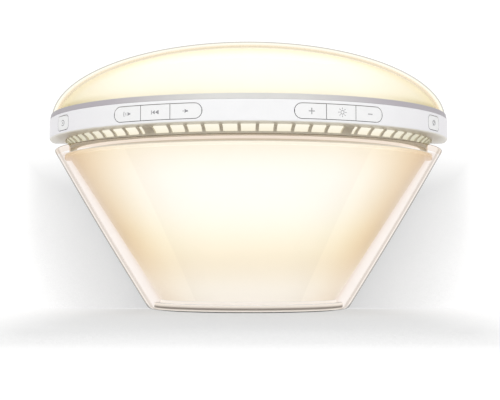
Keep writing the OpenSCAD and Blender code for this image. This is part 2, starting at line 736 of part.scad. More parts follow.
// Main board and what is soldered to it, with places as shares of the board's width and height
chip_t = 1.2;
processor_w = 12;
memory_w = 8;
memory_h = 10;
driver_w = 7;
driver_h = 5;
chip_sizes = [[processor_w, processor_w], [memory_w, memory_h], [driver_w, driver_h], [driver_h, driver_h]];
chip_shares = [[-0.23, 0.16], [0.04, 0.26], [-0.06, -0.24], [-0.37, 0.05]];
capacitor_r = 4;                      // the first capacitor is the widest and the tallest
capacitor_h = 7.5;
small_capacitor_r = 3.2;
small_capacitor_h = 6;
capacitor_sizes = [[capacitor_r, capacitor_h], [small_capacitor_r, small_capacitor_h],
    [small_capacitor_r, small_capacitor_h]];
capacitor_shares = [[0.365, -0.21], [0.3, 0.16], [0.077, -0.26]];
radio_share = -0.25;
radio_w = 18;
radio_h = 13;
radio_t = 2.6;
radio_margin = 1.5;                   // the radio stands this far over the board's lower edge

module main_board() {
    color("seagreen") placed() difference() {
        in_bay(0, main_board_z, main_board_depth) linear_extrude(board_t)
            square([main_board_w, main_board_h], center = true);
        for (p = board_boss_places) in_bay(p[0], p[1], main_board_depth - over)
            cylinder(r = stout_screw_r + close_fit, h = board_t + 2 * over);
    }
}

// Stands on the face of the main board that looks at the cover
module on_board(shares, h) {
    in_bay(main_board_w * shares[0], main_board_z + main_board_h * shares[1], main_board_depth - h)
        linear_extrude(h) children();
}

// Stands on the face that looks at the bulkhead
module behind_board(x, z, h) {
    in_bay(x, z, board_boss_depth) linear_extrude(h) children();
}

module board_chips() {
    color("black") placed() for (i = [0:len(chip_sizes) - 1])
        on_board(chip_shares[i], chip_t) square(chip_sizes[i], center = true);
}

module board_capacitors() {
    color("steelblue") placed() for (i = [0:len(capacitor_sizes) - 1])
        on_board(capacitor_shares[i], capacitor_sizes[i][1]) circle(r = capacitor_sizes[i][0]);
}

module radio_module() {
    color("silver") placed()
        behind_board(main_board_w * radio_share, main_board_low_z + radio_margin + radio_h / 2, radio_t)
            square([radio_w, radio_h], center = true);
}

module wire_headers() {
    color("ivory") placed() for (side = [-1:1])
        behind_board(side * header_x, header_top_z - header_h / 2, header_t)
            square([header_w, header_h], center = true);
}

// Power socket: its square body stands on the main board and its nose reaches through the cover
jack_w = 9;
jack_h = 11;
jack_nose_out = 2.4;
jack_floor = 2.4;
jack_pin_short = 1;

module dc_jack() {
    color("black") placed() difference() {
        union() {
            in_bay(jack_x, jack_z, fit) linear_extrude(main_board_depth - fit)
                square([jack_w, jack_h], center = true);
            in_bay(jack_x, jack_z, -jack_nose_out) cylinder(r = jack_nose_r, h = jack_nose_out + 2 * fit);
        }
        in_bay(jack_x, jack_z, -jack_nose_out - over)
            cylinder(r = jack_bore_r, h = jack_nose_out + over + main_board_depth - jack_floor);
    }
}

module dc_jack_pin() {
    color("silver") placed() in_bay(jack_x, jack_z, jack_pin_short - jack_nose_out)
        cylinder(r = jack_pin_r, h = jack_nose_out - jack_pin_short + main_board_depth - jack_floor);
}

// Loudspeaker, facing the slots in the cover
basket_flange_t = 2;
basket_wall = 1.2;
basket_floor_t = 1.6;
basket_rim = 3.4;                     // width of the flange
magnet_t = 8;
magnet_share = 0.56;                  // this share and the next two are of the flange's radius
surround_share = 0.143;
cone_neck_share = 0.25;
magnet_r = speaker_r * magnet_share;
basket_floor_r = magnet_r + basket_wall;
surround_w = speaker_r * surround_share;
surround_t = 1;
cone_wall = 0.6;
cone_clear = 4.4;                     // gap from the cone to the floor of the basket
cone_neck_r = speaker_r * cone_neck_share;
basket_in_r = speaker_r - basket_rim;
basket_front = speaker_gasket_t;
basket_back = speaker_gasket_t + speaker_depth - magnet_t;
cone_front = basket_front + basket_flange_t / 2;
cone_back = basket_back - cone_clear;
cap_rise = 1.8;
basket_window_w = 9;
surround_out_r = basket_in_r - close_fit;
speaker_cone_r = surround_out_r - surround_w - close_fit;

module speaker_spin() {
    placed() in_bay(0, speaker_z) rotate_extrude() children();
}

module speaker_basket() {
    color("darkslategray") difference() {
        union() {
            speaker_spin() polygon([
                [basket_in_r, basket_front], [speaker_r, basket_front],
                [speaker_r, basket_front + basket_flange_t],
                [basket_in_r + basket_wall, basket_front + basket_flange_t],
                [basket_floor_r, basket_back - basket_floor_t], [basket_floor_r, basket_back],
                [cone_neck_r, basket_back], [cone_neck_r, basket_back - basket_floor_t],
                [basket_floor_r - basket_wall, basket_back - basket_floor_t],
                [basket_in_r, basket_front + basket_flange_t]
            ]);
            placed() for (x = [-1, 1], z = [-1, 1]) difference() {
                in_bay(x * speaker_ear_x, speaker_z + z * speaker_ear_x, basket_front)
                    cylinder(r = speaker_ear_r, h = basket_flange_t);
                in_bay(0, speaker_z, basket_front - over)
                    cylinder(r = speaker_r - basket_wall, h = basket_flange_t + 2 * over);
            }
        }
        placed() for (angle = [0:90:270])
            in_bay(0, speaker_z, basket_front + basket_flange_t + basket_wall) rotate([0, 0, angle])
                translate([basket_floor_r - basket_wall * 2, -basket_window_w / 2, 0])
                    cube([speaker_r, basket_window_w,
                        basket_back - basket_front - basket_flange_t - basket_floor_t - 2 * basket_wall]);
        placed() for (x = [-1, 1], z = [-1, 1])
            in_bay(x * speaker_ear_x, speaker_z + z * speaker_ear_x, basket_front - over)
                cylinder(r = thin_screw_r + fit, h = basket_flange_t + 2 * over);
    }
}

module speaker_magnet() {
    color("dimgray") placed() in_bay(0, speaker_z, basket_back) cylinder(r = magnet_r, h = magnet_t);
}

module speaker_surround() {
    inner = surround_out_r - surround_w;
    middle = surround_out_r - surround_w / 2;
    color("black") speaker_spin() polygon([
        [inner, cone_front], [middle, cone_front - surround_t], [surround_out_r, cone_front],
        [surround_out_r, cone_front + surround_t / 2], [middle, cone_front - surround_t / 2],
        [inner, cone_front + surround_t / 2]
    ]);
}

module speaker_cone() {
    color("gray") speaker_spin() polygon([
        [speaker_cone_r, cone_front], [cone_neck_r, cone_back - cap_rise], [0, cone_back - 2 * cap_rise],
        [0, cone_back], [cone_neck_r, cone_back], [speaker_cone_r, cone_front + cone_wall]
    ]);
}

module speaker_gasket() {
    color("black") speaker_spin() translate([basket_in_r, 0])
        square([speaker_r - basket_in_r - basket_wall, speaker_gasket_t]);
}

// Rail, flexible circuit and switches behind the keys
flex_end_angle = 84;                  // the circuit runs on to its ribbon at its left end
flex_far_angle = 66;
bore_room = 0.5;                      // room left behind a plunger pressed home
plunger_in = 1.4;                     // length of a plunger inside its switch

module switch_carrier() {
    color("gainsboro") placed() turned(-carrier_half_angle, carrier_half_angle)
        translate([carrier_r - carrier_t, deck_z]) square([carrier_t, ring_h - 2 * flange_t - close_fit]);
}

module key_flex() {
    color("orange") placed() turned(-flex_end_angle, flex_far_angle)
        translate([flex_r - flex_t, key_z - flex_w / 2]) square([flex_t, flex_w]);
}

key_angles = concat(
    [for (i = [0:2]) -(key_start_angle + key_span_angle * (i + 1 / 2))],
    [for (i = [0:2]) key_start_angle + key_span_angle * (i + 1 / 2)],
    [-side_key_angle, side_key_angle]
);

module switch_bodies() {
    color("darkslategray") placed() for (angle = key_angles) difference() {
        facing(angle, flex_r, key_z) linear_extrude(switch_t) square(switch_w, center = true);
        facing(angle, switch_face_r - plunger_in - key_travel - bore_room, key_z)
            cylinder(r = plunger_r + fit, h = switch_t);
    }
}

module plunger(angle) {
    color("dimgray") placed() facing(angle, switch_face_r - plunger_in, key_z)
        cylinder(r = plunger_r, h = plunger_in + plunger_out);
}

// Keys: a cap flush with the ring's face, a lip behind the wall and a post to the switch
module key_body(angle, half) {
    turned(angle - half, angle + half)
        translate([key_root_r, key_z - key_h / 2]) square([ring_r - key_root_r, key_h]);
}

module key_lip_at(angle, half) {
    tall = key_h + 2 * key_lip;
    turned(angle - half, angle + half) translate([key_back_r, key_z - tall / 2]) square([key_lip_t, tall]);
}

module key_post_at(angle) {
    facing(angle, post_end_r, key_z) cylinder(r = plunger_r, h = key_root_r - post_end_r);
}

module group_key(angle) {
    half = key_span_angle / 2 - asin(key_gap / 2 / ring_r);
    color("white") placed() {
        intersection() {
            key_body(angle, half);
            facing(sign(angle) * group_angle, 0, key_z) linear_extrude(ring_r + over) group_outline();
        }
        key_lip_at(angle, half);
        key_post_at(angle);
    }
}

module side_key(angle) {
    half = asin((side_key_w / 2 + key_lip) / key_back_r);
    color("white") placed() {
        intersection() {
            key_body(angle, half);
            facing(angle, 0, key_z) linear_extrude(ring_r + over) side_outline();
        }
        key_lip_at(angle, half);
        key_post_at(angle);
    }
}

module volume_down_key() { group_key(key_angles[0]); }
module sound_key() { group_key(key_angles[1]); }
module volume_up_key() { group_key(key_angles[2]); }
module brighter_key() { group_key(key_angles[3]); }
module light_key() { group_key(key_angles[4]); }
module dimmer_key() { group_key(key_angles[5]); }
module routine_key() { side_key(key_angles[6]); }
module snooze_key() { side_key(key_angles[7]); }
module volume_down_plunger() { plunger(key_angles[0]); }
module sound_plunger() { plunger(key_angles[1]); }
module volume_up_plunger() { plunger(key_angles[2]); }
module brighter_plunger() { plunger(key_angles[3]); }
module light_plunger() { plunger(key_angles[4]); }
module dimmer_plunger() { plunger(key_angles[5]); }
module routine_plunger() { plunger(key_angles[6]); }
module snooze_plunger() { plunger(key_angles[7]); }

// Leads and the ribbon
ribbon_bend = 3;
ribbon_lift = 2.7;                    // height of the ribbon over the deck
ribbon_drop = 12;                     // length of the ribbon that hangs straight under the deck
ribbon_low_x = (header_x + ribbon_x) / 2 - ribbon_bend;
ribbon_start_x = chord(flex_r - flex_t, lead_depth + ribbon_w / 2) - fit;
ribbon_knee_z = deck_z - ribbon_drop;
ribbon_foot_z = header_top_z + ribbon_bend;

function ribbon_path() = [
    [-ribbon_start_x, deck_top_z + ribbon_lift], [-ribbon_x - ribbon_bend, deck_top_z + ribbon_lift],
    [-ribbon_x, deck_top_z + ribbon_lift - ribbon_bend / 2], [-ribbon_x, ribbon_knee_z],
    [-ribbon_low_x, ribbon_foot_z + ribbon_bend], [-header_x - ribbon_bend / 2, ribbon_foot_z],
    [-header_x, ribbon_foot_z - ribbon_bend / 2], [-header_x, header_top_z]
];

// The path moved sideways, with its corners mitred
function across(a, b) = [a[1] - b[1], b[0] - a[0]] / norm(b - a);
function path_side(path, d) = [for (i = [0:len(path) - 1]) let (
    before = across(path[max(i - 1, 0)], path[max(i, 1)]),
    after = across(path[min(i, len(path) - 2)], path[min(i + 1, len(path) - 1)]),
    mitre = (before + after) / norm(before + after)
) path[i] + mitre * d / (mitre * before)];

module key_ribbon() {
    path = ribbon_path();
    color("orange") placed() in_bay(0, 0, lead_depth - ribbon_w / 2) linear_extrude(ribbon_w)
        polygon(concat(path_side(path, ribbon_t / 2), flipped(path_side(path, -ribbon_t / 2))));
}

module led_leads() {
    color("red") placed() for (x = [-1, 1], z = [-1, 1])
        in_bay(x * led_lead_x, led_board_z + z * lead_gap / 2, board_boss_depth)
            cylinder(r = lead_r, h = front_depth - board_boss_depth);
}

module top_led_leads() {
    color("red") placed() for (x = [-1, 1])
        translate([header_x + x * lead_gap / 2, -lead_depth, header_top_z])
            cylinder(r = lead_r, h = deck_top_z - header_top_z);
}

module speaker_leads() {
    color("black") placed() for (x = [-1, 1])
        translate([x * lead_gap / 2, -lead_depth, header_top_z])
            cylinder(r = lead_r, h = speaker_z - magnet_r - basket_wall - fit - header_top_z);
}

// Screws
module cover_screws() {
    color("silver") placed() for (p = cover_boss_places) in_bay(p[0], p[1], recess_depth - cover_t)
        rotate([180, 0, 0]) screw(stout_screw_r, cover_screw_length + cover_t - recess_depth - fit);
}

module ring_screws() {
    color("silver") placed() for (angle = post_angles) rotate([0, 0, angle])
        translate([0, -ring_screw_r, deck_top_z])
            screw(thin_screw_r, deck_t + flange_t + ring_screw_bite - fit);
}

module board_screws() {
    color("silver") placed() for (p = board_boss_places) in_bay(p[0], p[1], main_board_depth)
        rotate([180, 0, 0]) screw(stout_screw_r, board_screw_length + board_t - fit);
}

module speaker_screws() {
    color("silver") placed() for (x = [-1, 1], z = [-1, 1])
        in_bay(x * speaker_ear_x, speaker_z + z * speaker_ear_x, basket_front + basket_flange_t)
            screw(thin_screw_r, basket_flange_t + speaker_screw_bite - fit);
}

module base_screws() {
    color("silver") placed() for (x = [-1, 1])
        translate([x * base_screw_x, -base_screw_y, base_head_z + head_t])
            rotate([180, 0, 0]) screw(stout_screw_r, bay_z + base_boss_h - base_head_z - head_t - fit);
}

outer_shell();
lower_diffuser();
vent_grille();
grille_strip();
control_ring();
dome_gasket();
dome_cover();
dome_diffuser();
chassis();
rear_cover();
base_plate();
ballast_weight();
foot_pad();
reflector();
led_board();
led_emitters();
heat_sink();
top_led_board();
top_led_emitters();
main_board();
board_chips();
board_capacitors();
radio_module();
wire_headers();
dc_jack();
dc_jack_pin();
speaker_basket();
speaker_magnet();
speaker_cone();
speaker_surround();
speaker_gasket();
switch_carrier();
key_flex();
switch_bodies();
key_ribbon();
led_leads();
top_led_leads();
speaker_leads();
cover_screws();
ring_screws();
board_screws();
speaker_screws();
base_screws();
sound_key();
volume_up_key();
volume_down_key();
dimmer_key();
light_key();
brighter_key();
routine_key();
snooze_key();
sound_plunger();
volume_up_plunger();
volume_down_plunger();
dimmer_plunger();
light_plunger();
brighter_plunger();
routine_plunger();
snooze_plunger();
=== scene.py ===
import math
import bpy
import bmesh
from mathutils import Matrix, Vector


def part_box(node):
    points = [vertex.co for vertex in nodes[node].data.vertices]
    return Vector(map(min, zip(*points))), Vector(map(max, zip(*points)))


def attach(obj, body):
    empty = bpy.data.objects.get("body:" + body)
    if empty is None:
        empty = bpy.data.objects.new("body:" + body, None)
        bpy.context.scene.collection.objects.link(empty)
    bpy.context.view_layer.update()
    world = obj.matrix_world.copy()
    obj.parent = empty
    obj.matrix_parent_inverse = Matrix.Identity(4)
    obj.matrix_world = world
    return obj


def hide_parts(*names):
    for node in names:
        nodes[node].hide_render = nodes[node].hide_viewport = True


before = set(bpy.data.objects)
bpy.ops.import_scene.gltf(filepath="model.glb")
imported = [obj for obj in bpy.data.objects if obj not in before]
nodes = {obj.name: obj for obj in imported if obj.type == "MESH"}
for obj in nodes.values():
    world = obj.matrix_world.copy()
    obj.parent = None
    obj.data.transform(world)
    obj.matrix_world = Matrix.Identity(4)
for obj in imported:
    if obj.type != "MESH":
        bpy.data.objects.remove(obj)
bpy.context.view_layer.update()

# The frame is in metres with Z up, and the front faces -Y
mm = 0.001
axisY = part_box("outer_shell")[1].y       # the turning axis stands level with the shell's flat ends
print("frame loaded:", len(nodes), "nodes")

# Outlines of the turned pieces, radius and height in mm
shell = {
    "footR": 68.4, "topR": 132.9, "bulge": 0.8, "wall": 3.5, "edge": 2.0,
    "lowZ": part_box("outer_shell")[0].z / mm, "highZ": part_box("outer_shell")[1].z / mm,
    "ledgeT": 3.7, "ledgeR": 117.6,
    "air": 0.02,                         # a film that keeps the ledge off the faces over and under it
}
cone = {
    "footR": 59.9, "topR": 122.4, "wall": 2.4, "lowZ": 7.0, "highZ": shell["highZ"] - shell["ledgeT"],
    "neckR": 117.3, "neckZ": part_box("lower_diffuser")[1].z / mm,
    "flangeT": 2.0, "fillet": 1.0, "filletOut": 1.2, "filletTurn": (150, 90),
    "gap": 0.3,                          # between the flange and the shell
}
dome = {
    "seatZ": 127.9, "widestZ": 129.1, "steps": 64,
    "clearR": 134.5, "clearH": 50.9, "clearWall": 2.5,
    "frostR": 129.9, "frostH": 46.3, "frostWall": 1.6,
}


def shellR(z):
    share = (z - shell["lowZ"]) / (shell["highZ"] - shell["lowZ"])
    bulge = shell["bulge"] * math.sin(math.pi * share)
    return shell["footR"] + (shell["topR"] - shell["footR"]) * share + bulge


def coneR(z):                            # z is a number or, in a finish, a socket
    share = (z - cone["lowZ"]) / (cone["highZ"] - cone["lowZ"])
    return cone["footR"] + (cone["topR"] - cone["footR"]) * share


# Colours: 0 to 255 as picked on a screen, to the linear colour of a socket
def srgb(*levels):
    linear = [c / 255 / 12.92 if c <= 10 else ((c / 255 + 0.055) / 1.055) ** 2.4 for c in levels]
    return (*linear, 1.0)


def darker(colour, share):
    return (*(c * share for c in colour[:3]), 1.0)


def grey(level):
    return (level, level, level, 1.0)


unlit = grey(0.0)


# Shader maths: a socket that takes part in sums, and the node tree that the sums are made in
class Wire:
    def __init__(self, graph, socket):
        self.graph = graph
        self.socket = socket

    def math(self, operation, first, second):
        return self.graph.node("Math", {"operation": operation}, {0: first, 1: second})

    def __add__(self, other):
        return self.math("ADD", self, other)

    def __radd__(self, other):
        return self.math("ADD", other, self)

    def __sub__(self, other):
        return self.math("SUBTRACT", self, other)

    def __rsub__(self, other):
        return self.math("SUBTRACT", other, self)

    def __mul__(self, other):
        return self.math("MULTIPLY", self, other)

    def __rmul__(self, other):
        return self.math("MULTIPLY", other, self)

    def __truediv__(self, other):
        return self.math("DIVIDE", self, other)

    def __rtruediv__(self, other):
        return self.math("DIVIDE", other, self)

    def __pow__(self, other):
        return self.math("POWER", self, other)


class Graph:
    def __init__(self, tree):
        self.tree = tree

    def node(self, kind, settings=None, sockets=None, out=0):
        made = self.tree.nodes.new("ShaderNode" + kind)
        for name, value in (settings or {}).items():
            if name == "stops":
                while len(made.color_ramp.elements) < len(value):
                    made.color_ramp.elements.new(1.0)
                for element, (place, colour) in zip(made.color_ramp.elements, value):
                    element.position = place
                    element.color = srgb(*colour)
            elif name == "ease":
                made.color_ramp.interpolation = value
            else:
                setattr(made, name, value)
        for key, value in (sockets or {}).items():
            if isinstance(value, Wire):
                self.tree.links.new(value.socket, made.inputs[key])
            else:
                made.inputs[key].default_value = value
        return Wire(self, made.outputs[out])

    def place(self):                     # the point on the piece, in the frame's metres
        return self.node("TexCoord", out="Object")

    def axis(self, index, of=None):
        return self.node("SeparateXYZ", sockets={0: of or self.place()}, out=index)

    def vector(self, operation, first, second=(0, 0, 0), out=0):
        return self.node("VectorMath", {"operation": operation}, {0: first, 1: second}, out=out)

    def level(self):                     # from the turning axis level out to the point
        return self.vector("MULTIPLY", self.vector("SUBTRACT", self.place(), (0, axisY, 0)), (1, 1, 0))

    def reach(self):                     # distance from the turning axis, mm
        return self.vector("LENGTH", self.level(), out="Value") / mm

    def height(self):                    # mm over the table
        return self.axis(2) / mm

    def rise(self, low, high):           # share of the way up from one height to another, mm
        return (self.height() - low) / (high - low)

    def normal(self):
        return self.node("NewGeometry", out="Normal")

    def behind(self):                    # 1 on a face that is seen from its back
        return self.node("NewGeometry", out="Backfacing")

    def outward(self):                   # 1 where a face looks straight away from the axis, 0 on a side wall
        return self.vector("DOT_PRODUCT", self.vector("NORMALIZE", self.level()), self.normal(), out="Value")

    def turn(self):                      # angle round the axis, 0 in front and 1 at the flat back
        sockets = {0: self.size(self.axis(0)), 1: axisY - self.axis(1)}
        return self.node("Math", {"operation": "ARCTAN2"}, sockets) / (math.pi / 2)

    def size(self, value):
        return self.node("Math", {"operation": "ABSOLUTE"}, {0: value})

    def most(self, first, second):
        return self.node("Math", {"operation": "MAXIMUM"}, {0: first, 1: second})

    def smooth(self, value, low, high, start=0.0, end=1.0):
        sockets = {"Value": value, "From Min": low, "From Max": high, "To Min": start, "To Max": end}
        return self.node("MapRange", {"interpolation_type": "SMOOTHSTEP"}, sockets)

    def noise(self, scale, detail, roughness=0.5, stretch=None):
        where = self.place()
        if stretch:
            where = self.vector("MULTIPLY", where, stretch)
        sockets = {"Vector": where, "Scale": scale, "Detail": detail, "Roughness": roughness}
        return self.node("TexNoise", sockets=sockets)

    def mix(self, share, first, second, kind="MIX"):      # 6, 7 and 2 are the sockets that carry colours
        settings = {"data_type": "RGBA", "blend_type": kind}
        return self.node("Mix", settings, {0: share, 6: first, 7: second}, out=2)

    def ramp(self, value, stops, ease="B_SPLINE"):
        return self.node("ValToRGB", {"stops": stops, "ease": ease}, {0: value})

    def bump(self, height, strength, distance):           # distance in metres
        return self.node("Bump", sockets={"Strength": strength, "Distance": distance, "Height": height})

    def seen(self):                      # 1 to the camera, to a gloss and through a clear piece
        rays = ("Is Camera Ray", "Is Glossy Ray", "Is Transmission Ray")
        straight, mirrored, through = (self.node("LightPath", out=ray) for ray in rays)
        return self.most(self.most(straight, mirrored), through)


class Finish(Graph):
    def __init__(self, name, **constants):
        self.material = bpy.data.materials.new(name)
        self.material.use_nodes = True
        super().__init__(self.material.node_tree)
        self.shader = self.tree.nodes["Principled BSDF"]
        self.hold(**constants)

    def hold(self, **constants):         # plain values on the shader's own sockets
        for socket, value in constants.items():
            self.shader.inputs[socket.replace("_", " ")].default_value = value
        return self

    def feed(self, **wires):
        for socket, wire in wires.items():
            self.tree.links.new(wire.socket, self.shader.inputs[socket.replace("_", " ")])
        return self

    def tint(self, share, colour):       # lays a second colour over the one that is there
        below = Wire(self, self.shader.inputs["Base Color"].links[0].from_socket)
        return self.feed(Base_Color=self.mix(share, below, srgb(*colour)))

    def surface(self, total):
        self.tree.links.new(total.socket, self.tree.nodes["Material Output"].inputs["Surface"])
        return self


# Spans of a noise's values over which one look fades into another
evenSpan = (0.3, 0.7)
patchSpan = (0.35, 0.7)

# Lit frosted plastic: a dim body with a fine grain, lit by a glow of its own
frost = {"body": (90, 86, 78), "strength": 0.95, "grain": 900, "rough": (0.5, 0.62), "bump": (0.08, 0.0002)}


def frosted(name, glow):
    f = Finish(name, IOR=1.5, Emission_Strength=frost["strength"], Base_Color=srgb(*frost["body"]))
    grain = f.noise(frost["grain"], 2)
    return f.feed(Emission_Color=glow(f), Roughness=f.smooth(grain, *evenSpan, *frost["rough"]),
                  Normal=f.bump(grain, *frost["bump"]))


# The cone's glow is brightest in the middle, and creamier to the sides and the foot
coneLight = {
    "low": 5, "high": 104.4,             # mm, the heights that the stops below run between
    "rise": [(0.0, (239, 232, 222)), (0.10, (246, 240, 229)), (0.19, (243, 233, 214)),
             (0.28, (244, 232, 207)), (0.36, (250, 240, 215)), (0.48, (254, 250, 232)),
             (0.62, (255, 254, 247)), (0.80, (255, 255, 251)), (0.91, (254, 248, 236)),
             (1.0, (248, 239, 220))],
    "sides": [(0.0, (255, 255, 255)), (0.30, (255, 255, 253)), (0.46, (249, 243, 231)),
              (0.58, (234, 219, 195)), (0.69, (221, 199, 169)), (0.79, (205, 183, 155)),
              (0.92, (206, 190, 181))],
    "sidesZ": (17, 55, 0.45, 1.0),       # mm and shares: the sides tell less near the foot
    "panel": 36.5, "panelLean": 4.0,     # degrees to the light panel's edge halfway up, and more per 100 mm
    "panelSoft": 0.004, "panelTurn": (0.16, 0.4), "panelTint": (120, 100, 70), "panelDim": 0.05,
    "flangeZ": (103.9, 104.1), "flange": (200, 191, 174),
    "neckZ": (106.2, 106.5), "neck": (247, 241, 234),
}


def coneGlow(f):
    z = f.height()
    turn = f.turn()
    rise = f.ramp(f.rise(coneLight["low"], coneLight["high"]), coneLight["rise"])
    sides = f.ramp(turn, coneLight["sides"])
    shaded = f.mix(f.smooth(z, *coneLight["sidesZ"]), rise, f.mix(1.0, rise, sides, "MULTIPLY"))
    edge = (coneLight["panel"] + coneLight["panelLean"] * (z / 100 - 0.5)) / 90   # a turn of 1 is 90 degrees
    soft = coneLight["panelSoft"]
    inside = f.smooth(edge - turn, -soft, soft) * f.smooth(turn, *coneLight["panelTurn"])
    lit = f.mix(inside * coneLight["panelDim"], shaded, srgb(*coneLight["panelTint"]))
    lit = f.mix(f.smooth(z, *coneLight["flangeZ"]), lit, srgb(*coneLight["flange"]))
    return f.mix(f.smooth(z, *coneLight["neckZ"]), lit, srgb(*coneLight["neck"]))


domeLight = {
    "rise": [(0.0, (232, 228, 208)), (0.05, (244, 239, 220)), (0.14, (252, 251, 240)),
             (0.30, (254, 254, 251)), (0.55, (254, 254, 253)), (0.70, (254, 251, 240)),
             (0.84, (251, 243, 222)), (1.0, (238, 224, 200))],
    "sides": [(0.0, (255, 255, 255)), (0.34, (253, 252, 250)), (0.46, (249, 245, 236)),
              (0.56, (240, 234, 218)), (0.66, (229, 222, 203)), (0.80, (222, 216, 199)),
              (1.0, (217, 211, 195))],
    "foot": (137.5, 133.0), "footTurn": (0.35, 0.72), "footTint": (226, 223, 206),
}


def domeGlow(f):
    rise = f.ramp(f.rise(dome["widestZ"], dome["widestZ"] + dome["frostH"]), domeLight["rise"])
    lit = f.mix(1.0, rise, f.ramp(f.turn(), domeLight["sides"]), "MULTIPLY")
    foot = f.smooth(f.height(), *domeLight["foot"]) * f.smooth(f.turn(), *domeLight["footTurn"])
    return f.mix(foot, lit, srgb(*domeLight["footTint"]), "MULTIPLY")


stripLight = {
    "z": (109.5, 114.4), "foot": (246, 238, 216), "top": (254, 250, 234),
    "farTurn": (0.42, 0.80), "far": (206, 203, 180),
}


def stripGlow(f):
    upward = f.smooth(f.height(), *stripLight["z"])
    front = f.mix(upward, srgb(*stripLight["foot"]), srgb(*stripLight["top"]))
    return f.mix(f.smooth(f.turn(), *stripLight["farTurn"]), front, srgb(*stripLight["far"]))


# Clear acrylic: a thin clear wall with a gloss on its outer face, and a tint along its outline that is
# painted shade and painted refraction lines
acrylic = {
    "reach": 12.0,                       # mm in from the outline, the span of the edges below
    "gloss": (8.0, 30.0),                # mm in from the outline, where the gloss sets in
    "outer": (0.0, 0.02),                # how far a face looks outward before its edge counts
    "clouds": {"scale": 14, "detail": 3},
    "smears": {"scale": 60, "detail": 4}, "smearSpan": (0.45, 0.8), "smearRough": (0.0, 0.02),
}
# Painted edges, in mm in from the outline: a grey outline of painted shade, then pale and dark painted
# refraction lines
shellPaintedEdge = {
    "body": (253, 252, 252), "cloud": (250, 249, 249),
    "stops": [(0.0, (196, 193, 188)), (0.7, (206, 203, 198)), (0.9, (253, 251, 248)),
              (1.4, (250, 247, 243)), (1.9, (230, 225, 219)), (2.6, (226, 221, 215)),
              (3.2, (248, 245, 241)), (3.9, (255, 253, 251)), (12.0, (255, 254, 253))],
    # the ledge and its lip are painted: a pale band, and a dark line of painted shade
    "bands": [((103.9, 104.4), (247, 239, 231)), ((107.4, 107.7), (178, 169, 158))],   # the ledge, its lip
}
domePaintedEdge = {
    "body": (254, 253, 250), "cloud": (252, 251, 246),
    "stops": [(0.0, (196, 193, 184)), (0.65, (205, 202, 193)), (0.9, (253, 251, 239)),
              (1.8, (253, 249, 237)), (2.4, (250, 243, 226)), (3.1, (246, 234, 212)),
              (3.8, (239, 224, 201)), (4.5, (231, 219, 197)), (5.2, (240, 230, 212)),
              (5.9, (253, 247, 231)), (8.0, (255, 250, 238)), (12.0, (255, 253, 248))],
    "bands": [],
}


def clearPlastic(name, edge):
    f = Finish(name, IOR=1.0, Transmission_Weight=1.0, Coat_IOR=1.49, Coat_Roughness=0.01)
    slant = f.node("LayerWeight", sockets={"Blend": 0.5}, out="Facing")
    upright = f.vector("LENGTH", f.vector("MULTIPLY", f.normal(), (1, 1, 0)), out="Value")
    inside = (1 - slant) ** 2 * f.reach() / (2 * upright)          # mm in from the outline
    outer = (1 - f.behind()) * f.smooth(f.outward(), *acrylic["outer"])
    stops = [(place / acrylic["reach"], colour) for place, colour in edge["stops"]]
    # the edge colours are painted shade and painted refraction lines, set by how far in from the outline a
    # point looks
    colour = f.ramp(inside / acrylic["reach"], stops, "LINEAR")
    for heights, band in edge["bands"]:
        colour = f.mix(f.smooth(f.height(), *heights), colour, srgb(*band), "MULTIPLY")
    clouds = f.smooth(f.noise(**acrylic["clouds"]), *patchSpan)
    body = f.mix(clouds, srgb(*edge["body"]), srgb(*edge["cloud"]))
    squared = f.mix(1.0, colour, colour, "MULTIPLY")               # clear surfaces take the root of a colour
    smears = f.smooth(f.noise(**acrylic["smears"]), *acrylic["smearSpan"], *acrylic["smearRough"])
    gloss = outer * f.smooth(inside, *acrylic["gloss"])
    return f.feed(Base_Color=f.mix(outer, body, squared), Coat_Weight=gloss, Roughness=smears)


# Moulded plastic, rubber and the like: two close colours, a fine grain and a grain-fed roughness
mould = {
    "cloud": {"scale": 55, "detail": 5, "roughness": 0.6}, "cloudShare": 0.4, "bump": 0.0004,
    "roughSpan": (0.45, 0.95), "smoother": 0.05, "rougher": 0.08,
}


def moulded(name, colour, roughness, grain, depth, spread=0.03, coat=0.0, sheen=0.0):
    f = Finish(name, IOR=1.5, Coat_Weight=coat, Sheen_Weight=sheen)
    base = srgb(*colour)
    cloud = f.noise(**mould["cloud"])
    fine = f.noise(grain, 3)
    rough = (roughness - mould["smoother"], roughness + mould["rougher"])
    return f.feed(Base_Color=f.mix(f.smooth(cloud, *patchSpan), base, darker(base, 1 - spread * 2)),
                  Roughness=f.smooth(fine + cloud * mould["cloudShare"], *mould["roughSpan"], *rough),
                  Normal=f.bump(fine, depth, mould["bump"]))


# Painted shade: the walls down into the key gaps and the ring's windows are painted grey
gapShade = {"grey": (122, 122, 126), "outward": (0.86, 0.62), "z": (116.0, 116.6, 125.7, 126.3)}   # z in mm


def keyPlastic():                        # the walls down into the gaps are darker than the faces
    # the gap walls are painted darker than the faces, as painted shade
    f = moulded("key_white", (249, 249, 249), 0.36, 1700, 0.02, 0.01, coat=0.2)
    return f.tint(f.smooth(f.outward(), *gapShade["outward"]), gapShade["grey"])


# Painted shade on the ring: greyer towards its two ends, and darker on its underside
ringShade = {
    "sideTurn": (0.30, 0.85), "side": (247, 245, 249),
    "underTilt": (-0.25, -0.75), "under": (236, 232, 220),
}


